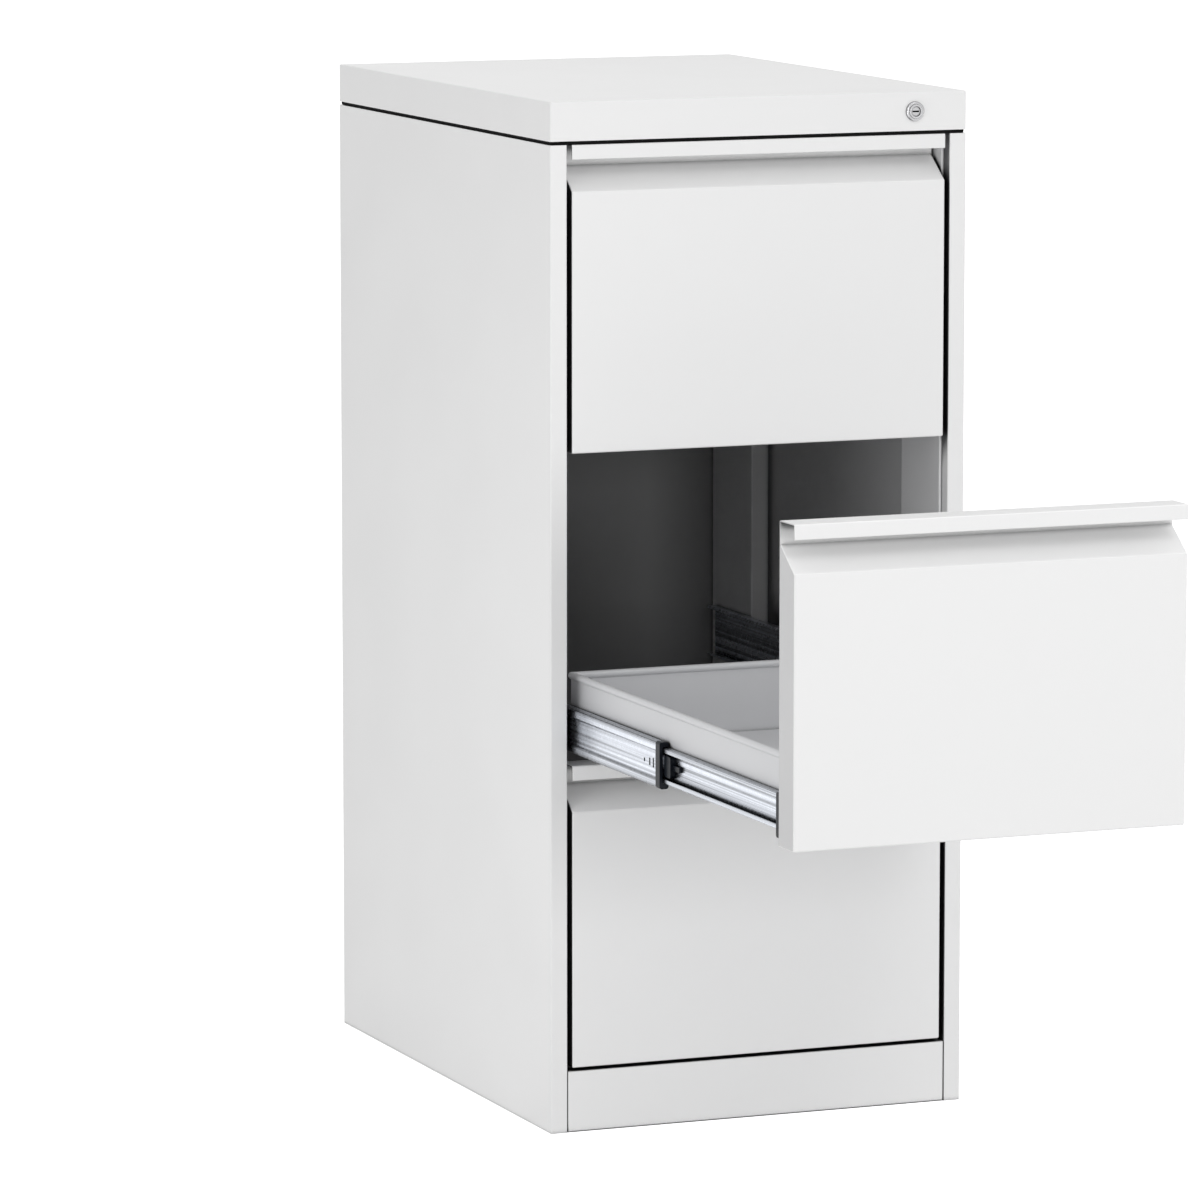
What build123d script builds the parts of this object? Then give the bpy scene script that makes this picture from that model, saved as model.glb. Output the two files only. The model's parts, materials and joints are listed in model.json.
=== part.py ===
"""Three-drawer steel cabinet for index cards.

Millimetres. The origin is the middle of the footprint on the floor. X runs to the right as
seen from the front, the drawers pull out towards -Y, and Z is up. The middle drawer stands
pulled out to its stop.
"""

import os
from math import cos, radians, sin

from build123d import *

os.makedirs("parts", exist_ok=True)

# Carcass
width = 435.0
depth = 590.0
plinth_height = 60.0
cover_height = 38.0
shadow_gap = 3.5
skin = 1.2
bend = 1.6
stile_width = 17.5
stile_return = 14.0
rear_flange = 25.0
cover_hem = 8.0
deck_inset = 8.5
deck_front_setback = 55.0
base_rim = 22.0
base_drop = 2.8
joint_gap = 0.5

# Posts behind the stiles and in the rear corners
post_width = 20.0
front_post_depth = 91.0
rear_post_depth = 105.0

# Blind rivets along the rear flanges
rivet_count = 5
rivet_radius = 2.0
rivet_head_radius = 4.0
rivet_head_height = 1.3
rivet_clearance = 0.1
rivet_end_margin = 60.0

# Drawers
levels = ["bottom", "middle", "top"]
sides = {"left": -1, "right": 1}
drawer_gap = 3.5
side_gap = 5.0
front_height = 296.0
front_sheet = 1.0
front_depth = 33.0
lip_height = 14.0
slope_top_drop = 21.0
slope_bottom_drop = 45.0
front_return = 14.0
liner_margin = 2.0
liner_bottom_margin = 3.0
liner_top_margin = 4.0
travel = 535.0
pulled_out = {"bottom": 0.0, "middle": travel, "top": 0.0}

# Tray
tray_sheet = 1.0
tray_length = 530.0
tray_floor_lift = 14.5
tray_top_lift = 84.0
tray_bend = 2.0
bead_radius = 3.5
bead_sheet = 0.9
tray_flange = 16.0
tray_sill = 12.0

# Telescopic runners: outer member on the posts, middle member, inner member on the tray
runner_width = 12.7
runner_height = 53.0
runner_lift = 4.5
runner_sheet = 1.2
runner_bend = 1.8
runner_lip = 2.8
outer_depth = 10.5
outer_length = 520.0
middle_height = 43.0
middle_near = 1.7
middle_far = 11.2
middle_band = 7.5
middle_recess = 1.9
inner_height = 34.0
inner_lip = 4.5
inner_near = 5.3
inner_setback = 2.0
middle_hole = 3.5
middle_holes = [(10.0, 9.0), (19.0, 7.0), (32.0, 3.5)]

# Balls and the strips that space them
ball_pitch = 38.0
cage_end = 20.0
cage_sheet = 0.8
cage_hole_clearance = 0.15
ball_clearance = 0.2
outer_cage_near = 3.2
outer_cage_far = 8.8
inner_cage_near = 6.0
inner_cage_far = 9.7

# Plastic pieces on the runners
catch_length = 10.0
catch_top = 17.5
catch_bottom = 24.0
catch_foot = 15.0
catch_foot_height = 6.0
stopper_length = 10.0
stopper_height = 44.5
stopper_mouth = 0.6
plastic_gap = 1.0
lever_length = 30.0
lever_height = 20.0
lever_depth = 5.6
lever_arm_height = 5.0
stopper_round = 2.5
catch_near = 4.5

# Lock in the cover's front skirt
lock_from_side = 55.0
rosette_radius = 9.5
rosette_proud = 2.5
collar_radius = 6.8
collar_proud = 0.8
lock_body_radius = 8.0
lock_body_length = 23.5
lock_hole_clearance = 0.1
lock_nut_radius = 12.0
lock_nut_thickness = 4.0
plug_radius = 5.0
plug_clearance = 0.08
plug_setback = 0.4
plug_tail = 6.0
keyway_width = 7.0
keyway_height = 1.6
keyway_depth = 12.0
cam_radius = 11.0
cam_thickness = 2.5
cam_gap = 0.3
crank_radius = 8.0
crank_pin_radius = 2.0
crank_pin_length = 5.2
lock_turn = 90.0

# Lock bar in the right-hand post, with a tongue for each drawer
bar_width = 22.0
bar_thickness = 2.0
bar_offset = 8.0
bar_tail = 20.0
arm_height = 13.0
arm_overhang = 16.0
crank_slot_clearance = 0.6
bar_gap = 0.7
tongue_lift = 104.0
tongue_height = 8.0
tongue_thickness = 3.0
tongue_reach = 11.0
tongue_clearance = 2.5
tongue_inset = 3.0
tab_height = 26.5
tab_sheet = 1.5
tab_margin = 6.5
tab_gap = 1.5
guide_lift = 160.0
guide_height = 12.0
guide_gap = 0.4
bar_slot_clearance = 1.5

# Places worked out from the sizes above
half_width = width / 2
front_y = -depth / 2
back_y = depth / 2
body_top = plinth_height + len(levels) * (drawer_gap + front_height)
cover_bottom = body_top + shadow_gap
height = cover_bottom + cover_height
inner_skin = half_width - skin
stile_edge = half_width - stile_width
stile_back = front_y + stile_return
post_face = half_width - post_width
post_web = post_face + skin
post_top = body_top - skin
base_top = plinth_height - base_drop
panel_back = back_y - skin
panel_front = panel_back - skin
front_width = width - 2 * (stile_width + side_gap)
half_front = front_width / 2
front_back = front_y + front_depth
liner_back = front_back + front_sheet
tray_side = post_face - runner_width
catch_back = liner_back + catch_length
stopper_front = catch_back + plastic_gap
stopper_back = stopper_front + stopper_length
outer_front = stopper_back + plastic_gap
runner_back = outer_front + outer_length
middle_length = runner_back - stopper_back
inner_length = runner_back - inner_setback - catch_back
runner_middle_lift = runner_lift + runner_height / 2

lock_x = half_width - lock_from_side
lock_z = cover_bottom + cover_height / 2
lock_face = front_y - rosette_proud
collar_face = lock_face - collar_proud
lock_back = front_y + lock_body_length
cam_front = lock_back + cam_gap
cam_back = cam_front + cam_thickness
bar_front = cam_back + bar_gap
bar_back = bar_front + bar_width
bar_near = post_face + bar_offset
bar_far = bar_near + bar_thickness
crank_side = crank_radius * cos(radians(lock_turn / 2))
crank_rise = crank_radius * sin(radians(lock_turn / 2))
bar_travel = 2 * crank_rise
arm_z = lock_z - crank_rise
tongue_back = bar_back - tongue_inset
tongue_front = tongue_back - tongue_thickness


def drawer_bottom(level):
    """Height of the lower edge of a drawer's front."""
    return plinth_height + drawer_gap + levels.index(level) * (front_height + drawer_gap)


def block(x, y, z, mode=Mode.ADD):
    """A box between two limits on each axis."""
    with Locations((min(x), min(y), min(z))):
        Box(abs(x[1] - x[0]), abs(y[1] - y[0]), abs(z[1] - z[0]), align=Align.MIN, mode=mode)


def rod(x, z, y, radius, mode=Mode.ADD):
    """A round rod along Y between two limits."""
    with Locations((x, (y[0] + y[1]) / 2, z)):
        Cylinder(radius, abs(y[1] - y[0]), rotation=(90, 0, 0), mode=mode)


def folded_sheet(points, thickness, radius):
    """Section of a folded sheet: its outer line, and the same line offset to its left."""
    with BuildSketch() as section:
        with BuildLine():
            FilletPolyline(*points, radius=radius)
            offset(amount=thickness, side=Side.LEFT)
        make_face()
    return section.sketch


def finish(piece, label):
    """Name a finished piece and write its file."""
    piece.label = label
    export_step(piece, f"parts/{label}.step")


def save_pair(piece, label):
    """Write a piece modelled for the right-hand side, and its mirror image for the left."""
    finish(piece, f"{label}_right")
    finish(mirror(piece, about=Plane.YZ), f"{label}_left")


# Side panels: skin with a stile in front, a flange behind and one on top
rivet_step = (body_top - 2 * rivet_end_margin) / (rivet_count - 1)
rivet_heights = [rivet_end_margin + i * rivet_step for i in range(rivet_count)]
rivet_x = half_width - rear_flange / 2
rivet_places = [(side * rivet_x, z) for side in sides.values() for z in rivet_heights]


def side_panel(bar_slot):
    """The right-hand panel, with or without the slot that the lock bar passes through."""
    with BuildPart() as panel:
        with BuildSketch():
            add(
                folded_sheet(
                    [
                        (stile_edge, stile_back),
                        (stile_edge, front_y),
                        (half_width, front_y),
                        (half_width, back_y),
                        (half_width - rear_flange, back_y),
                    ],
                    skin,
                    bend,
                )
            )
        extrude(amount=body_top)
        block((post_face, inner_skin), (stile_back, panel_back), (post_top, body_top))
        for z in rivet_heights:
            rod(rivet_x, z, (panel_front, back_y + skin), rivet_radius + rivet_clearance, Mode.SUBTRACT)
        if bar_slot:
            block(
                (bar_near - bar_slot_clearance, bar_far + bar_slot_clearance),
                (bar_front - bar_slot_clearance, bar_back + bar_slot_clearance),
                (post_top - skin, body_top + skin),
                Mode.SUBTRACT,
            )
    return panel.part


finish(side_panel(bar_slot=True), "side_panel_right")
finish(mirror(side_panel(bar_slot=False), about=Plane.YZ), "side_panel_left")

# Back panel, in front of the side panels' rear flanges
with BuildPart() as back_panel:
    panel_half = inner_skin - joint_gap
    block((-panel_half, panel_half), (panel_front, panel_back), (0, post_top - joint_gap))
    for x, z in rivet_places:
        rod(x, z, (panel_front - skin, back_y), rivet_radius + rivet_clearance, Mode.SUBTRACT)
finish(back_panel.part, "back_panel")

with BuildPart() as back_rivets:
    for x, z in rivet_places:
        rod(x, z, (panel_front, back_y), rivet_radius)
        rod(x, z, (back_y, back_y + rivet_head_height), rivet_head_radius)
    fillet(
        back_rivets.edges().filter_by(GeomType.CIRCLE).group_by(Axis.Y)[-1],
        radius=0.7 * rivet_head_height,
    )
finish(back_rivets.part, "back_rivets")

# Cover: a cap with skirts on four sides, hemmed inwards
with BuildPart() as top_cover:
    block((-half_width, half_width), (front_y, back_y), (cover_bottom, height))
    fillet(top_cover.edges().filter_by(Axis.Z), radius=bend)
    fillet(top_cover.faces().sort_by(Axis.Z)[-1].edges(), radius=bend)
    offset(amount=-skin, openings=top_cover.faces().sort_by(Axis.Z)[0])
    with BuildSketch(Plane.XY.offset(cover_bottom)):
        Rectangle(width - skin, depth - skin)
        Rectangle(width - 2 * cover_hem, depth - 2 * cover_hem, mode=Mode.SUBTRACT)
    extrude(amount=skin)
    rod(
        lock_x,
        lock_z,
        (front_y - skin, front_y + 2 * skin),
        lock_body_radius + lock_hole_clearance,
        Mode.SUBTRACT,
    )
finish(top_cover.part, "top_cover")

# Pan that lies on the side panels and carries the cover, set back to leave the shadow gap
with BuildPart() as top_frame:
    deck_half = half_width - deck_inset
    block(
        (-deck_half, deck_half),
        (front_y + deck_front_setback, back_y - deck_inset),
        (body_top, height - skin),
    )
    fillet(top_frame.edges().filter_by(Axis.Z), radius=bend)
    offset(amount=-skin, openings=top_frame.faces().sort_by(Axis.Z)[-1])
finish(top_frame.part, "top_frame")

# Plinth panel between the stiles, and the base pan behind it with a rim on the floor
with BuildPart() as plinth_panel:
    plinth_half = stile_edge - joint_gap
    block((-plinth_half, plinth_half), (front_y, stile_back), (0, plinth_height))
    fillet(plinth_panel.faces().sort_by(Axis.Y)[0].edges(), radius=bend)
    offset(amount=-skin, openings=plinth_panel.faces().sort_by(Axis.Y)[-1])
finish(plinth_panel.part, "plinth_panel")

with BuildPart() as base_frame:
    base_depth = panel_front - stile_back
    base_middle = (panel_front + stile_back) / 2
    block((-inner_skin, inner_skin), (stile_back, panel_front), (0, base_top))
    fillet(base_frame.edges().filter_by(Axis.Z), radius=bend)
    offset(amount=-skin, openings=base_frame.faces().sort_by(Axis.Z)[0])
    with BuildSketch():
        with Locations((0, base_middle)):
            Rectangle(2 * inner_skin - skin, base_depth - skin)
            Rectangle(2 * (inner_skin - base_rim), base_depth - 2 * base_rim, mode=Mode.SUBTRACT)
    extrude(amount=skin)
finish(base_frame.part, "base_frame")


# Posts: channels open towards the side panels
def post(front, back):
    """A right-hand post between two limits in depth."""
    with BuildPart() as channel:
        with BuildSketch(Plane.XY.offset(base_top)):
            add(
                folded_sheet(
                    [(inner_skin, back), (post_face, back), (post_face, front), (inner_skin, front)],
                    skin,
                    bend,
                )
            )
        extrude(amount=post_top - base_top)
    return channel.part


front_post = post(stile_back, stile_back + front_post_depth)
finish(mirror(front_post, about=Plane.YZ), "front_post_left")
save_pair(post(panel_front - rear_post_depth, panel_front), "rear_post")

# The right-hand front post has a slot for each tongue of the lock bar, and loops that guide it
with BuildPart() as lock_post:
    add(front_post)
    for level in levels:
        tongue_z = drawer_bottom(level) + tongue_lift
        block(
            (post_face - skin, post_web + skin),
            (tongue_front - tongue_clearance, tongue_back + tongue_clearance),
            (tongue_z - tongue_clearance, tongue_z + tongue_height + bar_travel + tongue_clearance),
            Mode.SUBTRACT,
        )
        guide_z = drawer_bottom(level) + guide_lift
        block(
            (post_web - skin / 2, bar_far + guide_gap + skin),
            (bar_front - guide_gap - skin, bar_back + guide_gap + skin),
            (guide_z, guide_z + guide_height),
        )
        block(
            (post_web, bar_far + guide_gap),
            (bar_front - guide_gap, bar_back + guide_gap),
            (guide_z, guide_z + guide_height),
            Mode.SUBTRACT,
        )
finish(lock_post.part, "front_post_right")

# Lock cylinder in the cover's front skirt
with BuildPart() as lock_housing:
    rod(lock_x, lock_z, (lock_face, front_y), rosette_radius)
    fillet(
        lock_housing.edges().filter_by(GeomType.CIRCLE).group_by(Axis.Y)[0],
        radius=rosette_proud / 2,
    )
    rod(lock_x, lock_z, (collar_face, lock_face), collar_radius)
    rod(lock_x, lock_z, (front_y, lock_back), lock_body_radius)
    rod(lock_x, lock_z, (collar_face, lock_back), plug_radius + plug_clearance, Mode.SUBTRACT)
finish(lock_housing.part, "lock_housing")

with BuildPart() as lock_nut:
    nut_front = front_y + skin
    with BuildSketch(Plane.XZ.offset(-nut_front)):
        with Locations((lock_x, lock_z)):
            RegularPolygon(lock_nut_radius, 6)
            Circle(lock_body_radius + lock_hole_clearance, mode=Mode.SUBTRACT)
    extrude(amount=-lock_nut_thickness)
finish(lock_nut.part, "lock_nut")

with BuildPart() as lock_plug:
    rod(lock_x, lock_z, (lock_face + plug_setback, cam_front), plug_radius)
    block(
        (lock_x - plug_tail / 2, lock_x + plug_tail / 2),
        (cam_front, cam_back),
        (lock_z - plug_tail / 2, lock_z + plug_tail / 2),
    )
    block(
        (lock_x - keyway_width / 2, lock_x + keyway_width / 2),
        (lock_face, lock_face + keyway_depth),
        (lock_z - keyway_height / 2, lock_z + keyway_height / 2),
        Mode.SUBTRACT,
    )
finish(lock_plug.part, "lock_plug")

with BuildPart() as lock_cam:
    rod(lock_x, lock_z, (cam_front, cam_back), cam_radius)
    block(
        (lock_x - plug_tail / 2, lock_x + plug_tail / 2),
        (cam_front - skin, cam_back + skin),
        (lock_z - plug_tail / 2, lock_z + plug_tail / 2),
        Mode.SUBTRACT,
    )
    rod(lock_x - crank_side, arm_z, (cam_back, cam_back + crank_pin_length), crank_pin_radius)
finish(lock_cam.part, "lock_cam")

# Lock bar: the crank pin lifts it by its arm, and its tongues rise into the drawers' tabs
with BuildPart() as lock_bar:
    block(
        (bar_near, bar_far),
        (bar_front, bar_back),
        (drawer_bottom(levels[0]) + tongue_lift - bar_tail, arm_z + arm_height / 2),
    )
    block(
        (lock_x - arm_overhang, bar_far),
        (bar_front, bar_front + bar_thickness),
        (arm_z - arm_height / 2, arm_z + arm_height / 2),
    )
    slot_reach = crank_pin_radius + crank_slot_clearance
    block(
        (lock_x - crank_radius - slot_reach, lock_x - crank_side + slot_reach),
        (bar_front - bar_thickness, bar_front + 2 * bar_thickness),
        (arm_z - slot_reach, arm_z + slot_reach),
        Mode.SUBTRACT,
    )
    for level in levels:
        tongue_z = drawer_bottom(level) + tongue_lift
        block(
            (post_face - tongue_reach, bar_near),
            (tongue_front, tongue_back),
            (tongue_z, tongue_z + tongue_height),
        )
finish(lock_bar.part, "lock_bar")


# Drawers
def front_panel(bottom, pulled):
    """Hollow front: a pan with a sloping top, under a hooked lip that the fingers go behind."""
    face = front_y - pulled
    back = front_back - pulled
    top = bottom + front_height
    slope_top = top - slope_top_drop
    with BuildPart() as panel:
        with BuildSketch(Plane.YZ):
            with BuildLine():
                Polyline(
                    (face, bottom),
                    (back, bottom),
                    (back, slope_top),
                    (face, top - slope_bottom_drop),
                    close=True,
                )
            make_face()
        extrude(amount=half_front, both=True)
        fillet(panel.edges().filter_by(lambda edge: edge.center().Y < back - front_sheet), radius=bend)
        offset(amount=-front_sheet, openings=panel.faces().sort_by(Axis.Y)[-1])
        for side in sides.values():
            block(
                (side * (half_front - front_sheet / 2), side * (half_front - front_return)),
                (back - front_sheet, back),
                (bottom + front_sheet / 2, slope_top - front_sheet),
            )
        block(
            (front_sheet / 2 - half_front, half_front - front_sheet / 2),
            (back - front_sheet, back),
            (bottom + front_sheet / 2, bottom + front_return),
        )
        with BuildSketch(Plane.YZ):
            add(
                folded_sheet(
                    [
                        (back, slope_top - 2 * front_sheet),
                        (back, top),
                        (face, top),
                        (face, top - lip_height),
                    ],
                    front_sheet,
                    bend,
                )
            )
        extrude(amount=half_front, both=True)
    return panel.part


def front_liner(bottom, pulled):
    """Sheet that closes the front's back and carries the tray, with a tab for the lock bar."""
    tab_x = post_face - tongue_reach + tab_gap
    tab_z = bottom + tongue_lift + tongue_height + tab_gap
    notch_back = tongue_back + tongue_clearance - pulled
    with BuildPart() as liner:
        block(
            (liner_margin - half_front, half_front - liner_margin),
            (front_back - pulled, liner_back - pulled),
            (bottom + liner_bottom_margin, bottom + front_height - liner_top_margin),
        )
        block(
            (tab_x, tab_x + tab_sheet),
            (liner_back - front_sheet - pulled, notch_back + tab_margin),
            (tab_z, tab_z + tab_height),
        )
        block(
            (tab_x - tab_sheet, tab_x + 2 * tab_sheet),
            (tongue_front - tongue_clearance - pulled, notch_back),
            (tab_z - tab_gap, tab_z + bar_travel + tongue_clearance),
            Mode.SUBTRACT,
        )
    return liner.part


def tray(bottom, pulled):
    """Tray folded from one sheet, with a rolled bead along its three free edges."""
    front = liner_back - pulled
    back = front + tray_length
    floor = bottom + tray_floor_lift
    bead_z = bottom + tray_top_lift - bead_radius
    wall = tray_side - tray_sheet / 2
    rear_wall = back - tray_sheet / 2
    bead_bore = bead_radius - bead_sheet
    with BuildPart() as body:
        with BuildSketch(Plane.XZ.offset(-back)):
            add(
                folded_sheet(
                    [(-tray_side, bead_z), (-tray_side, floor), (tray_side, floor), (tray_side, bead_z)],
                    tray_sheet,
                    tray_bend,
                )
            )
        extrude(amount=tray_length)
        block((-wall, wall), (back - tray_sheet, back), (floor + tray_bend, bead_z))
        block((-wall + tray_bend, wall - tray_bend), (back - tray_sheet, back), (floor, floor + tray_bend))
        block(
            (-wall + tray_bend, wall - tray_bend),
            (front, front + tray_sheet),
            (floor, floor + tray_sill),
        )
        for side in sides.values():
            block(
                (side * (tray_side - tray_flange), side * wall),
                (front, front + tray_sheet),
                (floor + tray_bend, bead_z),
            )
            rod(side * wall, bead_z, (front, rear_wall), bead_radius)
        with Locations((0, rear_wall, bead_z)):
            Cylinder(bead_radius, 2 * wall, rotation=(0, 90, 0))
        for side in sides.values():
            with Locations((side * wall, rear_wall, bead_z)):
                Sphere(bead_radius)
        for side in sides.values():
            rod(side * wall, bead_z, (front, rear_wall), bead_bore, Mode.SUBTRACT)
        with Locations((0, rear_wall, bead_z)):
            Cylinder(bead_bore, 2 * wall, rotation=(0, 90, 0), mode=Mode.SUBTRACT)
    return body.part


# Runners: sections in the right-hand post's plane, u away from the post and v up
def runner_member(points, centre, front, length):
    """One member of the right-hand runner, drawn from front to back along Y."""
    with BuildPart() as member:
        with BuildSketch(Plane.XZ.offset(-(front + length))):
            places = [(post_face - u, centre + v) for u, v in points]
            add(folded_sheet(places, runner_sheet, runner_bend))
        extrude(amount=length)
    return member.part


def outer_member(centre):
    """Member fixed to the posts: a channel whose lips keep the balls in."""
    top = runner_height / 2
    points = [(outer_depth, runner_lip - top), (outer_depth, -top), (0, -top)]
    return runner_member(points + [(u, -v) for u, v in reversed(points)], centre, outer_front, outer_length)


def middle_member(centre, pulled):
    """Middle member: a channel with a recessed web between two bands, and a row of holes."""
    top = middle_height / 2
    web = middle_near + middle_recess
    points = [
        (middle_far, runner_lip - top),
        (middle_far, -top),
        (middle_near, -top),
        (middle_near, middle_band - top),
        (web, middle_band + middle_recess - top),
    ]
    front = stopper_back - pulled / 2
    with BuildPart() as member:
        add(
            runner_member(
                points + [(u, -v) for u, v in reversed(points)], centre, front, middle_length
            )
        )
        for place, slot in middle_holes:
            block(
                (post_face - web - 2 * runner_sheet, post_face - middle_near + runner_sheet),
                (front + place - middle_hole / 2, front + place + middle_hole / 2),
                (centre - slot / 2, centre + slot / 2),
                Mode.SUBTRACT,
            )
    return member.part


def inner_member(centre, pulled):
    """Member fixed to the tray's wall, open towards the post."""
    top = inner_height / 2
    points = [(inner_near, top - inner_lip), (inner_near, top), (runner_width, top)]
    front = catch_back - pulled
    return runner_member(points + [(u, -v) for u, v in reversed(points)], centre, front, inner_length)


def ball_cages(row, near, far, gap, middle_y, centre):
    """Four strips of one stage with their balls: above and below the member, left and right."""
    ball = gap / 2 - ball_clearance
    reach = (balls_per_row - 1) * ball_pitch / 2
    row_x = post_face - (near + far) / 2
    with BuildPart() as cages:
        for side in sides.values():
            for up in (-1, 1):
                z = centre + up * row
                block(
                    (side * (post_face - far), side * (post_face - near)),
                    (middle_y - reach - cage_end, middle_y + reach + cage_end),
                    (z - cage_sheet / 2, z + cage_sheet / 2),
                )
                with Locations((side * row_x, middle_y, z)):
                    with GridLocations(0, ball_pitch, 1, balls_per_row):
                        Cylinder(ball + cage_hole_clearance, 2 * cage_sheet, mode=Mode.SUBTRACT)
                        Sphere(ball)
    return cages.part


# Runner plastics
def stoppers(centre, pulled):
    """Bumpers on the front ends of the middle members, cut out for the inner members."""
    front = stopper_front - pulled / 2
    mouth = inner_height / 2 + stopper_mouth
    with BuildPart() as pair:
        for side in sides.values():
            block(
                (side * (post_face - middle_far + guide_gap), side * (post_face - middle_near)),
                (front, front + stopper_length),
                (centre - stopper_height / 2, centre + stopper_height / 2),
            )
        fillet(pair.edges().filter_by(Axis.Y), radius=stopper_round)
        for side in sides.values():
            block(
                (side * (post_face - runner_width), side * (post_face - inner_near + guide_gap)),
                (front - skin, front + stopper_length + skin),
                (centre - mouth, centre + mouth),
                Mode.SUBTRACT,
            )
    return pair.part


def catches(centre, pulled):
    """Hooks behind the front that hold the tray down on the inner members."""
    front = liner_back - pulled
    back = front + catch_length
    with BuildPart() as pair:
        for side in sides.values():
            block(
                (side * tray_side, side * (post_face - catch_near)),
                (front, back),
                (centre - catch_bottom, centre + catch_top),
            )
        fillet(pair.edges().filter_by(Axis.X).group_by(Axis.Y)[-1], radius=stopper_round)
        for side in sides.values():
            block(
                (side * tray_side, side * (post_face - middle_far - guide_gap)),
                (back - stopper_round, back + catch_foot),
                (centre - catch_bottom, centre - catch_bottom + catch_foot_height),
            )
    return pair.part


def release_levers(centre, pulled):
    """Levers in the inner members that meet the stoppers when the drawer is right out."""
    back = stopper_front + travel / 2 - plastic_gap - pulled
    floor = post_face - runner_width + runner_sheet
    with BuildPart() as pair:
        for side in sides.values():
            block(
                (side * floor, side * (floor + lever_depth)),
                (back - lever_length / 2, back),
                (centre - lever_height / 2, centre + lever_height / 2),
            )
        fillet(pair.edges().filter_by(Axis.X), radius=stopper_round)
        for side in sides.values():
            block(
                (side * floor, side * (floor + lever_depth / 2)),
                (back - lever_length, back - lever_length / 2),
                (centre - lever_arm_height / 2, centre + lever_arm_height / 2),
            )
    return pair.part


outer_row = (runner_height / 2 - runner_sheet + middle_height / 2) / 2
outer_row_gap = runner_height / 2 - runner_sheet - middle_height / 2
inner_row = (middle_height / 2 - runner_sheet + inner_height / 2) / 2
inner_row_gap = middle_height / 2 - runner_sheet - inner_height / 2
middle_back_out = stopper_back + middle_length - travel / 2
middle_front_out = stopper_back - travel / 2
inner_back_out = catch_back + inner_length - travel
balls_per_row = 1 + int((inner_back_out - middle_front_out - 2 * cage_end) / ball_pitch)
outer_cage_y = (outer_front + middle_back_out) / 2 + travel / 4
inner_cage_y = (middle_front_out + inner_back_out) / 2 + 3 * travel / 4

for level in levels:
    bottom = drawer_bottom(level)
    pulled = pulled_out[level]
    centre = bottom + runner_middle_lift
    finish(front_panel(bottom, pulled), f"front_panel_{level}")
    finish(front_liner(bottom, pulled), f"front_liner_{level}")
    finish(tray(bottom, pulled), f"tray_{level}")
    save_pair(outer_member(centre), f"outer_runner_{level}")
    save_pair(middle_member(centre, pulled), f"middle_runner_{level}")
    save_pair(inner_member(centre, pulled), f"inner_runner_{level}")
    finish(
        ball_cages(
            outer_row, outer_cage_near, outer_cage_far, outer_row_gap, outer_cage_y - pulled / 4, centre
        ),
        f"outer_ball_cages_{level}",
    )
    finish(
        ball_cages(
            inner_row, inner_cage_near, inner_cage_far, inner_row_gap, inner_cage_y - 3 * pulled / 4, centre
        ),
        f"inner_ball_cages_{level}",
    )
    finish(stoppers(centre, pulled), f"runner_stoppers_{level}")
    finish(catches(centre, pulled), f"runner_catches_{level}")
    finish(release_levers(centre, pulled), f"release_levers_{level}")
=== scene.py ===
"""Dresses the steel index card cabinet: finishes with painted shade and highlights, a black strip standing
in for the shade in its shadow gap, light and camera.
"""

import json
from math import cos, pi, radians, sin

import bmesh
import bpy
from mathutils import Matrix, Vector


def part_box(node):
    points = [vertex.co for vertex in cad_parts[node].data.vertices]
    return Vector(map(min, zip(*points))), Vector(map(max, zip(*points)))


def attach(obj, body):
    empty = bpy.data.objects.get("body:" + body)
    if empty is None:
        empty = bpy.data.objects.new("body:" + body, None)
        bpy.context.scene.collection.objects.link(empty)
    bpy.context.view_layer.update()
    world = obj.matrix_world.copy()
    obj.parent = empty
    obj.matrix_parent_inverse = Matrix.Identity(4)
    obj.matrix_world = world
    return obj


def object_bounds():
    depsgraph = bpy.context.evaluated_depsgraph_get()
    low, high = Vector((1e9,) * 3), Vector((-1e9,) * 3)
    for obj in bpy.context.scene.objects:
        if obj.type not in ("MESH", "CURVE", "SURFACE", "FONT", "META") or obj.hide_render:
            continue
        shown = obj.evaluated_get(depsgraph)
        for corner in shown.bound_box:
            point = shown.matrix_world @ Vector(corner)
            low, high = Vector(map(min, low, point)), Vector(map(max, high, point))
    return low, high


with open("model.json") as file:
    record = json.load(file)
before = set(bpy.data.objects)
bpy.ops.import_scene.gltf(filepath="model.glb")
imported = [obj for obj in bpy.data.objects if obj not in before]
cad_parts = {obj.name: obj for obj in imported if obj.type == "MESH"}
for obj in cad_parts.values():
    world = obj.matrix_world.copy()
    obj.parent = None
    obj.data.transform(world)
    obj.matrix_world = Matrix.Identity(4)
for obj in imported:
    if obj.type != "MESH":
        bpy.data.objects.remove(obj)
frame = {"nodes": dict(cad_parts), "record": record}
cad_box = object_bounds()

MM = 0.001

# Camera: the photograph's viewing angle, level horizon, no shift
camera_place = Vector((-2720.5, -6651.9, 1486.4)) * MM
camera_yaw = radians(21.89)
camera_pitch = radians(8.03)
focal_pixels = 7197.8
image_pixels = 1200.0
sensor_width = 36.0

# Black strip in the shadow gap, standing in for its shade, in metres
strip_setback = 0.0016
strip_width = 0.0040
strip_corner = 0.0015
strip_clearance = 0.0004
strip_bite = 0.0003

# Light: strengths of the floor's glow and of the surround, powers of the lamps in watts
floor_glow = 0.85
ambient_strength = 0.66
key_power = 28.0
left_power = 2.2
top_power = 4.0
high_power = 10.0

# Faces told apart by their normals: least slope up and outwards, least turn to the side or inward
slope_least = 0.35
flank_least = 0.9
inward_least = 0.7


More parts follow.
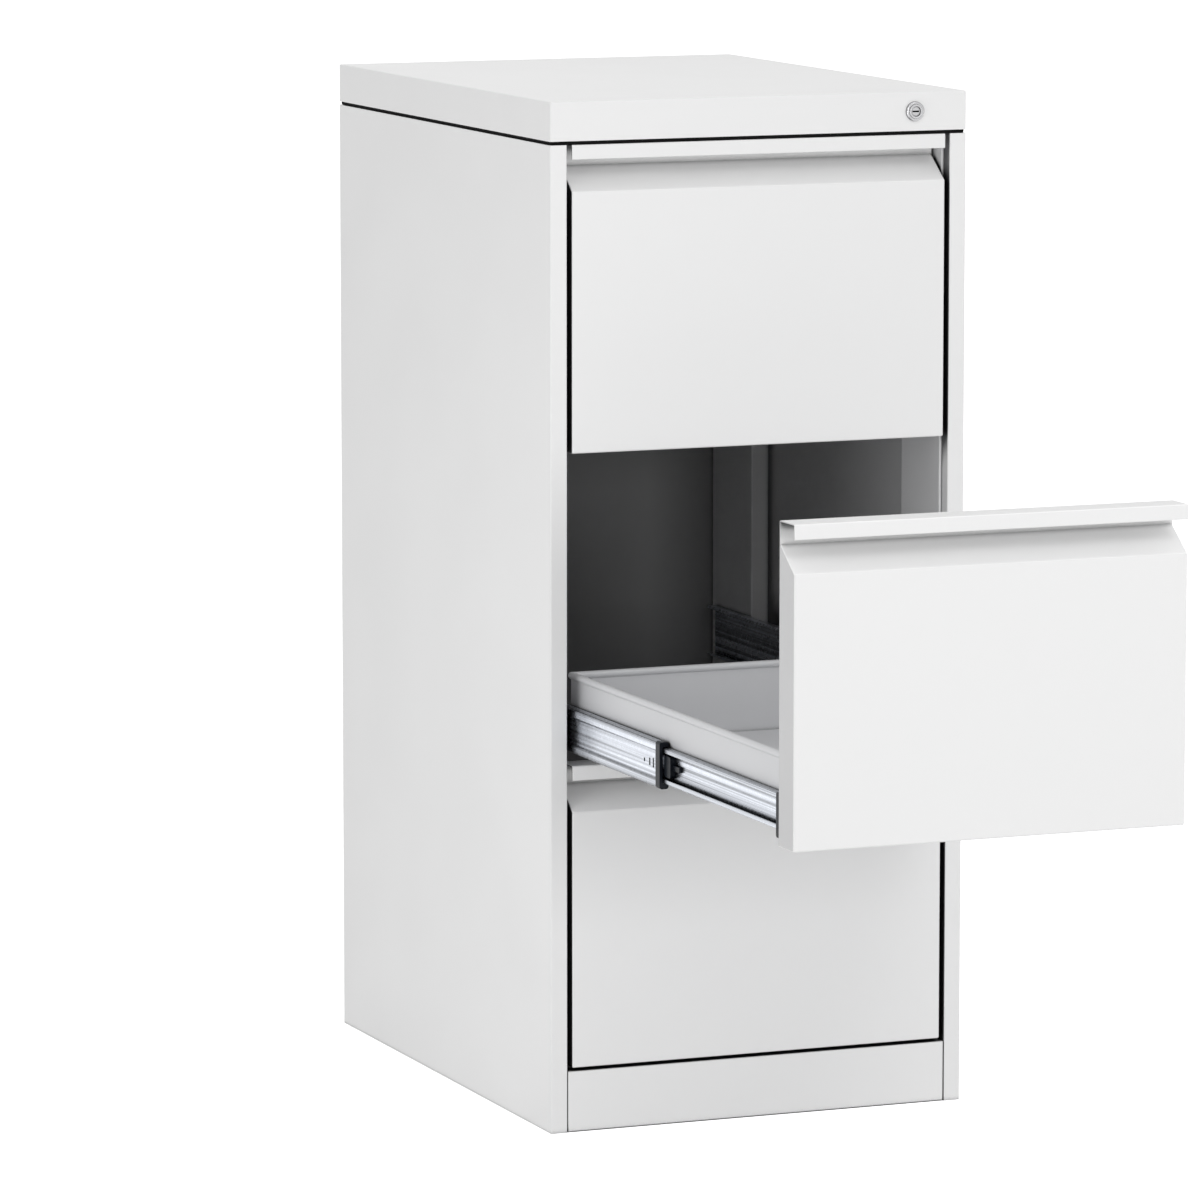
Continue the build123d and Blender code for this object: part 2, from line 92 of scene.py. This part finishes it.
def make_camera():
    """Places the camera and aims it by rotation alone."""
    data = bpy.data.cameras.new("camera")
    data.sensor_width = sensor_width
    data.lens = focal_pixels / image_pixels * sensor_width
    data.clip_start = 0.1
    data.clip_end = 100.0
    camera = bpy.data.objects.new("camera", data)
    bpy.context.scene.collection.objects.link(camera)
    camera.location = camera_place
    camera.rotation_euler = (pi / 2 - camera_pitch, 0, -camera_yaw)
    bpy.context.scene.camera = camera


# Shader trees
class Tree:
    """A node tree being drawn: add() places a node with its inputs, and wires those that are sockets."""

    def __init__(self, tree):
        self.tree = tree

    def add(self, kind, inputs=None, **settings):
        node = self.tree.nodes.new(kind)
        for name, value in settings.items():
            setattr(node, name, value)
        for name, value in (inputs or {}).items():
            if isinstance(value, bpy.types.NodeSocket):
                self.tree.links.new(value, node.inputs[name])
            else:
                node.inputs[name].default_value = value
        return node

    def math(self, operation, *values, clamp=False):
        node = self.add("ShaderNodeMath", dict(enumerate(values)), operation=operation, use_clamp=clamp)
        return node.outputs[0]

    def vector_math(self, operation, *values):
        node = self.add("ShaderNodeVectorMath", dict(enumerate(values)), operation=operation)
        return node.outputs["Value" if operation == "DOT_PRODUCT" else "Vector"]

    def rescale(self, value, low, high, new_low=0.0, new_high=1.0):
        node = self.add(
            "ShaderNodeMapRange",
            {"Value": value, "From Min": low, "From Max": high, "To Min": new_low, "To Max": new_high},
        )
        return node.outputs["Result"]

    def mix(self, factor, first, second, blend_type="MIX"):
        node = self.add("ShaderNodeMix", data_type="RGBA", blend_type=blend_type)
        for socket, value in zip((node.inputs[0], node.inputs[6], node.inputs[7]), (factor, first, second)):
            if isinstance(value, bpy.types.NodeSocket):
                self.tree.links.new(value, socket)
            else:
                socket.default_value = value
        return node.outputs[2]

    def place(self):
        return self.add("ShaderNodeTexCoord").outputs["Object"]

    def noise(self, vector, scale, detail=2.0, roughness=0.5):
        inputs = {"Vector": vector, "Scale": scale, "Detail": detail, "Roughness": roughness}
        return self.add("ShaderNodeTexNoise", inputs).outputs["Fac"]


def shader_group(name, inputs, outputs):
    """A new shader node group: its tree, its inputs as sockets by name, and its output node."""
    group = bpy.data.node_groups.new(name, "ShaderNodeTree")
    for label, default in inputs.items():
        socket = group.interface.new_socket(label, in_out="INPUT", socket_type="NodeSocketFloat")
        socket.default_value = default
    for label, kind in outputs.items():
        group.interface.new_socket(label, in_out="OUTPUT", socket_type=f"NodeSocket{kind}")
    tree = Tree(group)
    return tree, tree.add("NodeGroupInput").outputs, tree.add("NodeGroupOutput").inputs


def powder_texture_group():
    """Fine orange peel of a powder coat: a height for bump, and a mask that varies the gloss."""
    tree, given, out = shader_group(
        "powder texture", {"Grain Size": 0.0012, "Unevenness": 0.3}, {"Height": "Float", "Gloss": "Float"}
    )
    place = tree.place()
    scale = tree.math("DIVIDE", 1.0, given["Grain Size"])
    peel = tree.noise(place, scale, detail=3.0, roughness=0.55)
    coarse = tree.noise(place, tree.math("MULTIPLY", scale, 0.31), detail=1.0)
    height = tree.math("ADD", peel, tree.math("MULTIPLY", coarse, given["Unevenness"]))
    patches = tree.noise(place, 9.0, detail=3.0)
    tree.tree.links.new(height, out["Height"])
    tree.tree.links.new(tree.rescale(patches, 0.3, 0.7), out["Gloss"])
    return tree.tree


def edge_group():
    """Rounded normals along sharp edges, and a mask of where a surface turns over an edge."""
    tree, given, out = shader_group(
        "soft edges", {"Radius": 0.0006, "Reach": 1.0}, {"Normal": "Vector", "Edge": "Float"}
    )
    rounded = tree.add("ShaderNodeBevel", {"Radius": given["Radius"]}, samples=6).outputs["Normal"]
    flat = tree.add("ShaderNodeNewGeometry").outputs["Normal"]
    turned = tree.math("SUBTRACT", 1.0, tree.vector_math("DOT_PRODUCT", rounded, flat))
    edge = tree.math("MULTIPLY", turned, tree.math("MULTIPLY", given["Reach"], 4.0), clamp=True)
    tree.tree.links.new(rounded, out["Normal"])
    tree.tree.links.new(edge, out["Edge"])
    return tree.tree


def streaks_and_reflection_group():
    """Long lines along a steel section, as a mask and a height: fine ones are the lines rolling leaves,
    broad ones stand for painted reflection.
    """
    tree, given, out = shader_group(
        "streaks and painted reflection",
        {"Line Width": 0.0006, "Line Length": 0.12, "Contrast": 1.0},
        {"Streaks": "Float", "Height": "Float"},
    )
    across = tree.math("DIVIDE", 1.0, given["Line Width"])
    along = tree.math("DIVIDE", 1.0, given["Line Length"])
    stretch = tree.add("ShaderNodeCombineXYZ", {"X": across, "Y": along, "Z": across}).outputs[0]
    place = tree.vector_math("MULTIPLY", tree.place(), stretch)
    lines = tree.noise(place, 1.0, detail=4.0, roughness=0.7)
    spread = tree.math("MULTIPLY", given["Contrast"], tree.math("SUBTRACT", lines, 0.5))
    tree.tree.links.new(tree.math("ADD", 0.5, spread, clamp=True), out["Streaks"])
    tree.tree.links.new(lines, out["Height"])
    return tree.tree


def crevice_shade_group(name, own_piece_only):
    """Painted shade where sheets face each other across a slot and light hardly reaches: a mask from how
    open the surround is within Width.
    """
    tree, given, out = shader_group(
        name, {"Width": 0.012, "Open": 0.55, "Shut": 0.25}, {"Crevice": "Float"}
    )
    sky = tree.add(
        "ShaderNodeAmbientOcclusion", {"Distance": given["Width"]}, samples=12, only_local=own_piece_only
    )
    tree.tree.links.new(tree.rescale(sky.outputs["AO"], given["Open"], given["Shut"]), out["Crevice"])
    return tree.tree


def facing_inward_group():
    """1 on faces that look across the cabinet towards its middle, as the stiles' folded edges do."""
    tree, given, out = shader_group("facing inward", {}, {"Inward": "Float"})
    at = tree.add("ShaderNodeSeparateXYZ", {"Vector": tree.place()}).outputs["X"]
    normal = tree.add("ShaderNodeNewGeometry").outputs["True Normal"]
    across = tree.add("ShaderNodeSeparateXYZ", {"Vector": normal}).outputs["X"]
    towards = tree.math("MULTIPLY", across, tree.math("SIGN", at))
    tree.tree.links.new(tree.math("LESS_THAN", towards, -inward_least), out["Inward"])
    return tree.tree


def sloping_group():
    """Sloping is 1 on faces that slope up and outwards, as under each lip; Flank on sideways faces."""
    tree, given, out = shader_group("sloping outwards", {}, {"Sloping": "Float", "Flank": "Float"})
    normal = tree.add("ShaderNodeNewGeometry").outputs["True Normal"]
    along = tree.add("ShaderNodeSeparateXYZ", {"Vector": normal}).outputs
    up = tree.math("GREATER_THAN", along["Z"], slope_least)
    outwards = tree.math("LESS_THAN", along["Y"], -slope_least)
    tree.tree.links.new(tree.math("MULTIPLY", up, outwards), out["Sloping"])
    flank = tree.math("GREATER_THAN", tree.math("ABSOLUTE", along["X"]), flank_least)
    tree.tree.links.new(flank, out["Flank"])
    return tree.tree


def inside_group():
    """1 on the faces of the side and back panels that look into the carcass, else 0."""
    tree, given, out = shader_group("inside of the carcass", {}, {"Inside": "Float"})
    at = tree.add("ShaderNodeSeparateXYZ", {"Vector": tree.place()}).outputs
    half_width = cad_box[1][0]
    low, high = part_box("back_panel")
    inner_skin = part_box("base_frame")[1][0]
    beside = tree.math("LESS_THAN", tree.math("ABSOLUTE", at["X"]), (inner_skin + half_width) / 2)
    behind = tree.math("GREATER_THAN", at["Y"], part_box("base_frame")[0][1] - 0.0005)
    before = tree.math("LESS_THAN", at["Y"], (low[1] + high[1]) / 2)
    tree.tree.links.new(tree.math("MULTIPLY", beside, tree.math("MULTIPLY", behind, before)), out["Inside"])
    return tree.tree


def zinc_bloom_group():
    """Cloudy crystals of a zinc plate: a soft mask a few millimetres across."""
    tree, given, out = shader_group("zinc bloom", {"Crystal Size": 0.004}, {"Bloom": "Float"})
    place = tree.place()
    scale = tree.math("DIVIDE", 1.0, given["Crystal Size"])
    warp = tree.add("ShaderNodeTexNoise", {"Vector": place, "Scale": scale, "Detail": 2.0}).outputs["Color"]
    bent = tree.vector_math("ADD", place, tree.vector_math("MULTIPLY", warp, (0.003, 0.003, 0.003)))
    cells = tree.add("ShaderNodeTexVoronoi", {"Vector": bent, "Scale": scale}, feature="SMOOTH_F1")
    tree.tree.links.new(tree.rescale(cells.outputs["Distance"], 0.1, 0.7), out["Bloom"])
    return tree.tree


def settled_dust_group():
    """Thin dust on faces that look up, thicker in patches."""
    tree, given, out = shader_group("settled dust", {"Amount": 0.1}, {"Dust": "Float"})
    normal = tree.add("ShaderNodeNewGeometry").outputs["Normal"]
    upward = tree.add("ShaderNodeSeparateXYZ", {"Vector": normal}).outputs["Z"]
    patches = tree.noise(tree.place(), 35.0, detail=5.0, roughness=0.65)
    facing = tree.rescale(upward, 0.6, 1.0)
    dust = tree.math("MULTIPLY", facing, tree.rescale(patches, 0.35, 0.75))
    tree.tree.links.new(tree.math("MULTIPLY", dust, given["Amount"]), out["Dust"])
    return tree.tree


GROUPS = {
    "powder": powder_texture_group(),
    "edges": edge_group(),
    "streaks": streaks_and_reflection_group(),
    "bloom": zinc_bloom_group(),
    "crevice": crevice_shade_group("crevice", own_piece_only=False),
    "grip": crevice_shade_group("grip", own_piece_only=True),
    "inward": facing_inward_group(),
    "sloping": sloping_group(),
    "inside": inside_group(),
    "dust": settled_dust_group(),
}


def use(tree, name, **inputs):
    """Places one of the shared groups in a material, with its values."""
    values = {label.replace("_", " ").title(): value for label, value in inputs.items()}
    return tree.add("ShaderNodeGroup", node_tree=GROUPS[name], inputs=values).outputs


def new_material(name):
    """A material with an empty tree but for its Principled shader: the tree and that shader."""
    material = bpy.data.materials.new(name)
    material.use_nodes = True
    tree = Tree(material.node_tree)
    return material, tree, material.node_tree.nodes["Principled BSDF"]


def wire(tree, shader, **sockets):
    """Joins values to the shader's sockets by name."""
    for name, value in sockets.items():
        tree.tree.links.new(value, shader.inputs[name.replace("_", " ")])


def tinted(colour, factor):
    """The colour made darker or lighter by a factor."""
    return tuple(min(1.0, value * factor) for value in colour[:3]) + (1.0,)


def powder_coat(
    name, colour, roughness, grain=0.0011, depth=0.00001, dust=0.03, inside=None, grip=0.0, returns=0.0
):
    """Satin powder coat with fine orange peel, and a painted highlight: a paler line over the edges.

    inside is a darker colour painted as shade on faces within the carcass. grip and returns are
    how strong the painted shade is in the grip behind a lip, and on a stile's folded edge. With a
    grip, the face under the lip gets a painted highlight and the sideways faces painted shade.
    Every coat also gets painted shade in narrow slots.
    """
    material, tree, shader = new_material(name)
    powder = use(tree, "powder", grain_size=grain, unevenness=0.35)
    edges = use(tree, "edges", radius=0.0010, reach=1.0)
    settled = use(tree, "dust", amount=dust)
    # Painted highlight: the coat is paler over the edges.
    base = tree.mix(edges["Edge"], colour, tinted(colour, 1.14))
    # Painted shade: faces inside the carcass take the darker inside colour.
    if inside:
        base = tree.mix(use(tree, "inside")["Inside"], base, inside)
    base = tree.mix(settled["Dust"], base, DUST)
    # Painted light at the grip: the sloping face under the lip paler, the sideways faces darker, and shade
    # beside and behind the lip.
    if grip:
        turned = use(tree, "sloping")
        base = tree.mix(turned["Sloping"], base, SLOPE_PAINTED_LIGHT)
        base = tree.mix(turned["Flank"], base, FLANK_PAINTED_SHADE)
        beside = use(tree, "crevice", width=0.030, open=0.85, shut=0.65)["Crevice"]
        base = tree.mix(tree.math("MULTIPLY", turned["Flank"], beside), base, SHADED)
        deep = use(tree, "grip", width=0.013, open=0.90, shut=0.74)["Crevice"]
        base = tree.mix(tree.math("MULTIPLY", deep, grip), base, SHADED)
    # Painted shade on the stiles' folded edges, where they look across a slot.
    if returns:
        deep = use(tree, "crevice", width=0.035, open=0.92, shut=0.72)["Crevice"]
        folded = tree.math("MULTIPLY", deep, use(tree, "inward")["Inward"])
        base = tree.mix(tree.math("MULTIPLY", folded, returns), base, SHADED)
    # Painted shade in every narrow slot.
    slot = use(tree, "crevice", width=0.012, open=0.60, shut=0.36)["Crevice"]
    base = tree.mix(slot, base, SLOT_PAINTED_SHADE)
    gloss = tree.rescale(powder["Gloss"], 0.0, 1.0, roughness - 0.03, roughness + 0.04)
    gloss = tree.math("SUBTRACT", gloss, tree.math("MULTIPLY", edges["Edge"], 0.06))
    bump = tree.add(
        "ShaderNodeBump",
        {"Height": powder["Height"], "Distance": depth, "Strength": 1.0, "Normal": edges["Normal"]},
    )
    wire(tree, shader, Base_Color=base, Roughness=gloss, Normal=bump.outputs["Normal"])
    shader.inputs["IOR"].default_value = 1.5
    shader.inputs["Coat Roughness"].default_value = 0.25
    return material


def plated_steel(name, colour, roughness, streak_length=0.12, bloom=0.25, reflection_contrast=1.0):
    """Bright zinc-plated strip: fine rolled lines, broad light and dark stripes of painted reflection, a
    cloudy plate, a painted highlight over the edges and painted shade in the grooves.
    """
    material, tree, shader = new_material(name)
    streaks = use(tree, "streaks", line_width=0.0005, line_length=streak_length, contrast=1.4)
    reflection_stripes = use(tree, "streaks", line_width=0.0036, line_length=1.4, contrast=reflection_contrast)
    clouds = use(tree, "bloom", crystal_size=0.005)
    edges = use(tree, "edges", radius=0.0005, reach=1.0)
    # Painted reflection: broad dark and light stripes along the strip.
    base = tree.mix(reflection_stripes["Streaks"], tinted(colour, 0.17), tinted(colour, 1.22))
    base = tree.mix(tree.math("MULTIPLY", streaks["Streaks"], 0.5), base, tinted(colour, 0.72))
    base = tree.mix(tree.math("MULTIPLY", clouds["Bloom"], bloom), base, tinted(colour, 0.80))
    # Painted highlight over the edges.
    base = tree.mix(edges["Edge"], base, tinted(colour, 1.5))
    # Painted shade in the grooves.
    groove = use(tree, "crevice", width=0.006, open=0.94, shut=0.52)["Crevice"]
    base = tree.mix(tree.math("MULTIPLY", groove, 0.93), base, rgb(0.012, 0.014, 0.020))
    rough = tree.rescale(streaks["Streaks"], 0.0, 1.0, roughness + 0.08, roughness - 0.05)
    rough = tree.math("ADD", rough, tree.math("MULTIPLY", clouds["Bloom"], 0.06))
    bump = tree.add(
        "ShaderNodeBump",
        {"Height": streaks["Height"], "Distance": 0.00002, "Strength": 0.6, "Normal": edges["Normal"]},
    )
    wire(tree, shader, Base_Color=base, Roughness=rough, Normal=bump.outputs["Normal"])
    shader.inputs["Metallic"].default_value = 1.0
    return material


def turned_metal(name, colour, roughness, centre, ring_pitch=0.0004, ring_depth=0.000004):
    """Turned and plated metal: fine rings round an axis along Y through centre, a painted highlight over
    the edges and painted shade in the grooves.
    """
    material, tree, shader = new_material(name)
    edges = use(tree, "edges", radius=0.0003, reach=1.0)
    local = tree.vector_math("SUBTRACT", tree.place(), centre)
    radius = tree.vector_math("MULTIPLY", local, (1.0, 0.0, 1.0))
    length = tree.add("ShaderNodeVectorMath", {0: radius}, operation="LENGTH").outputs["Value"]
    rings = tree.math("SINE", tree.math("MULTIPLY", length, 2 * pi / ring_pitch))
    smears = tree.noise(tree.place(), 320.0, detail=4.0)
    rough = tree.rescale(smears, 0.3, 0.7, roughness - 0.04, roughness + 0.08)
    base = tree.mix(smears, colour, tinted(colour, 0.85))
    # Painted highlight over the edges.
    base = tree.mix(edges["Edge"], base, tinted(colour, 1.6))
    # Painted shade in the grooves.
    groove = use(tree, "crevice", width=0.0035, open=0.92, shut=0.45)["Crevice"]
    base = tree.mix(tree.math("MULTIPLY", groove, 0.95), base, rgb(0.015, 0.015, 0.017))
    bump = tree.add(
        "ShaderNodeBump",
        {"Height": rings, "Distance": ring_depth, "Strength": 0.5, "Normal": edges["Normal"]},
    )
    wire(tree, shader, Base_Color=base, Roughness=rough, Normal=bump.outputs["Normal"])
    shader.inputs["Metallic"].default_value = 1.0
    return material


def moulded_plastic(name, colour, roughness, shine=0.5):
    """Moulded nylon with a spark-eroded grain, and a painted highlight: paler over the edges."""
    material, tree, shader = new_material(name)
    powder = use(tree, "powder", grain_size=0.0005, unevenness=0.6)
    edges = use(tree, "edges", radius=0.0005, reach=1.0)
    # Painted highlight over the edges.
    base = tree.mix(tree.math("MULTIPLY", edges["Edge"], 0.5), colour, tinted(colour, 3.5))
    rough = tree.rescale(powder["Gloss"], 0.0, 1.0, roughness - 0.06, roughness + 0.06)
    bump = tree.add(
        "ShaderNodeBump",
        {"Height": powder["Height"], "Distance": 0.00003, "Strength": 1.0, "Normal": edges["Normal"]},
    )
    wire(tree, shader, Base_Color=base, Roughness=rough, Normal=bump.outputs["Normal"])
    shader.inputs["Specular IOR Level"].default_value = shine
    return material


def rgb(red, green, blue):
    return (red, green, blue, 1.0)


lock_centre = tuple((low + high) / 2 for low, high in zip(*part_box("lock_housing")))

WHITE = rgb(0.86, 0.86, 0.86)
# Painted highlight on the faces sloping under each lip, and painted shade on the sideways faces.
SLOPE_PAINTED_LIGHT = rgb(0.97, 0.97, 0.97)
FLANK_PAINTED_SHADE = rgb(0.60, 0.60, 0.605)
SHADED = rgb(0.035, 0.036, 0.040)
# Painted shade in narrow slots.
SLOT_PAINTED_SHADE = rgb(0.008, 0.008, 0.009)
DUST = rgb(0.62, 0.60, 0.57)
# Painted shade on the inner faces of the side and back panels.
INSIDE_PAINTED_SHADE = rgb(0.62, 0.62, 0.625)
BACK_INSIDE_PAINTED_SHADE = rgb(0.24, 0.24, 0.245)
FINISHES = {
    "white_enamel": powder_coat("white_enamel", WHITE, 0.42),
    # Front coat with painted highlight and painted shade at the grips.
    "front_enamel": powder_coat("front_enamel", WHITE, 0.42, grip=0.88),
    # Side and back coats: white outside, painted shade on their inner faces.
    "side_enamel": powder_coat("side_enamel", WHITE, 0.42, inside=INSIDE_PAINTED_SHADE, returns=0.95),
    "back_enamel_painted_shade": powder_coat("back_enamel_painted_shade", WHITE, 0.42, inside=BACK_INSIDE_PAINTED_SHADE),
    # Inner parts: the white coat painted a little darker, as shade inside the carcass.
    "inner_enamel": powder_coat("inner_enamel", rgb(0.76, 0.76, 0.765), 0.46, dust=0.05),
    "tray_enamel": powder_coat("tray_enamel", rgb(0.66, 0.665, 0.68), 0.36, dust=0.04),
    "zinc_steel": plated_steel("zinc_steel", rgb(0.64, 0.67, 0.73), 0.24, reflection_contrast=4.2),
    "ball_steel": plated_steel("ball_steel", rgb(0.66, 0.67, 0.69), 0.18, bloom=0.1),
    "zinc_plate": plated_steel("zinc_plate", rgb(0.70, 0.72, 0.75), 0.34, bloom=0.45),
    "black_plastic": moulded_plastic("black_plastic", rgb(0.006, 0.008, 0.012), 0.34, shine=0.14),
    # Black of the strip in the shadow gap, standing in for its shade.
    "gap_black_for_shade": moulded_plastic("gap_black_for_shade", rgb(0.006, 0.006, 0.006), 0.85, shine=0.1),
    "lock_chrome": turned_metal("lock_chrome", rgb(0.49, 0.49, 0.50), 0.20, lock_centre),
    "rivet_aluminium": plated_steel("rivet_aluminium", rgb(0.78, 0.79, 0.80), 0.36, bloom=0.1),
}


def dress_cad_nodes():
    """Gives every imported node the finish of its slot, and the panels seen from two sides their own."""
    slots = {part["node"]: part["material_slot"] for part in frame["record"]["subparts"]}
    slots.update(dict.fromkeys(["side_panel_left", "side_panel_right"], "side_enamel"))
    slots.update(dict.fromkeys([name for name in slots if name.startswith("front_panel")], "front_enamel"))
    slots["back_panel"] = "back_enamel_painted_shade"
    for name, piece in frame["nodes"].items():
        piece.data.materials.clear()
        piece.data.materials.append(FINISHES[slots[name]])


def outline_ring(half_x, low_y, high_y, corner, steps=6):
    """Points round a rectangle with rounded corners, anticlockwise from above."""
    centres = [(half_x, high_y), (-half_x, high_y), (-half_x, low_y), (half_x, low_y)]
    ring = []
    for quarter, (x, y) in enumerate(centres):
        x -= corner * (1 if x > 0 else -1)
        y -= corner * (1 if y == high_y else -1)
        for step in range(steps + 1):
            angle = (quarter + step / steps) * pi / 2
            ring.append((x + corner * cos(angle), y + corner * sin(angle)))
    return ring


def shadow_gap_strip():
    """Black matte strip stuck under the cover's hem, set back from the faces, all the way round; its black
    stands in for the shade in the gap.
    """
    cover_low, cover_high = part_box("top_cover")
    frame_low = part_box("top_frame")[0]
    bottom = frame_low[2] + strip_clearance
    top = cover_low[2] + strip_bite
    edge = (top - bottom) / 5
    section = [
        (strip_setback + edge, bottom),
        (strip_setback, bottom + edge),
        (strip_setback, top),
        (strip_setback + strip_width, top),
        (strip_setback + strip_width, bottom + edge),
        (strip_setback + strip_width - edge, bottom),
    ]
    mesh = bmesh.new()
    rings = []
    for inset, height in section:
        places = outline_ring(
            cover_high[0] - inset, cover_low[1] + inset, cover_high[1] - inset, strip_corner
        )
        rings.append([mesh.verts.new((x, y, height)) for x, y in places])
    for ring, following in zip(rings, rings[1:] + rings[:1]):
        for here, there, below, above in zip(
            ring, ring[1:] + ring[:1], following[1:] + following[:1], following
        ):
            mesh.faces.new((here, there, below, above))
    bmesh.ops.recalc_face_normals(mesh, faces=mesh.faces)
    data = bpy.data.meshes.new("shadow_gap_strip")
    mesh.to_mesh(data)
    mesh.free()
    strip = bpy.data.objects.new("shadow_gap_strip", data)
    bpy.context.scene.collection.objects.link(strip)
    data.materials.append(FINISHES["gap_black_for_shade"])
    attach(strip, "cabinet")


# Stage: a white floor that keeps the cabinet's shadow, and a white surround
def white_floor():
    """A broad pale floor. Rays from the camera, from gloss and through glass see it as white."""
    mesh = bpy.data.meshes.new("floor")
    shape = bmesh.new()
    bmesh.ops.create_grid(shape, x_segments=1, y_segments=1, size=30.0)
    shape.to_mesh(mesh)
    shape.free()
    floor = bpy.data.objects.new("floor", mesh)
    bpy.context.scene.collection.objects.link(floor)
    material = bpy.data.materials.new("floor_white")
    material.use_nodes = True
    tree = Tree(material.node_tree)
    tree.tree.nodes.clear()
    seen = seen_by_eye(tree)
    diffuse = tree.add("ShaderNodeBsdfDiffuse", {"Color": rgb(0.80, 0.80, 0.80)})
    glow = tree.add("ShaderNodeEmission", {"Color": rgb(1, 1, 1), "Strength": floor_glow})
    both = tree.add("ShaderNodeAddShader", {0: diffuse.outputs[0], 1: glow.outputs[0]})
    mix = tree.add("ShaderNodeMixShader", {0: seen, 1: diffuse.outputs[0], 2: both.outputs[0]})
    tree.add("ShaderNodeOutputMaterial", {"Surface": mix.outputs[0]})
    mesh.materials.append(material)


def seen_by_eye(tree):
    """1 for rays from the camera, from gloss and through glass, else 0."""
    path = tree.add("ShaderNodeLightPath").outputs
    glossy = tree.math("MAXIMUM", path["Is Camera Ray"], path["Is Glossy Ray"])
    return tree.math("MAXIMUM", glossy, path["Is Transmission Ray"])


def white_world():
    """Soft grey light from all round, seen as plain white."""
    world = bpy.data.worlds.new("world")
    bpy.context.scene.world = world
    world.use_nodes = True
    tree = Tree(world.node_tree)
    tree.tree.nodes.clear()
    light = tree.add("ShaderNodeBackground", {"Color": rgb(1, 1, 1), "Strength": ambient_strength})
    white = tree.add("ShaderNodeBackground", {"Color": rgb(1, 1, 1), "Strength": 1.0})
    mix = tree.add("ShaderNodeMixShader", {0: seen_by_eye(tree), 1: light.outputs[0], 2: white.outputs[0]})
    tree.add("ShaderNodeOutputWorld", {"Surface": mix.outputs[0]})


def soft_box(name, place, target, size, power):
    """A rectangular area lamp aimed at a point."""
    data = bpy.data.lights.new(name, "AREA")
    data.shape = "RECTANGLE"
    data.size, data.size_y = size
    data.energy = power
    lamp = bpy.data.objects.new(name, data)
    bpy.context.scene.collection.objects.link(lamp)
    lamp.location = place
    lamp.rotation_mode = "QUATERNION"
    lamp.rotation_quaternion = (Vector(target) - Vector(place)).to_track_quat("-Z", "Y")


def light_studio():
    """Key in front at half height, a second above it, weak fills from the left and from the top."""
    soft_box("key", (0.45, -4.3, 1.0), (0.0, -0.3, 0.5), (0.5, 0.9), key_power)
    soft_box("left_fill", (-1.2, -0.75, 0.52), (-0.22, -0.1, 0.5), (0.5, 0.5), left_power)
    soft_box("high", (0.7, -2.7, 2.7), (0.05, -0.5, 0.35), (1.0, 1.0), high_power)
    soft_box("top_fill", (-0.4, 0.05, 2.5), (0.0, 0.0, 1.0), (0.8, 0.8), top_power)


make_camera()
dress_cad_nodes()
shadow_gap_strip()
white_floor()
white_world()
light_studio()
bpy.context.scene.view_settings.view_transform = "Standard"
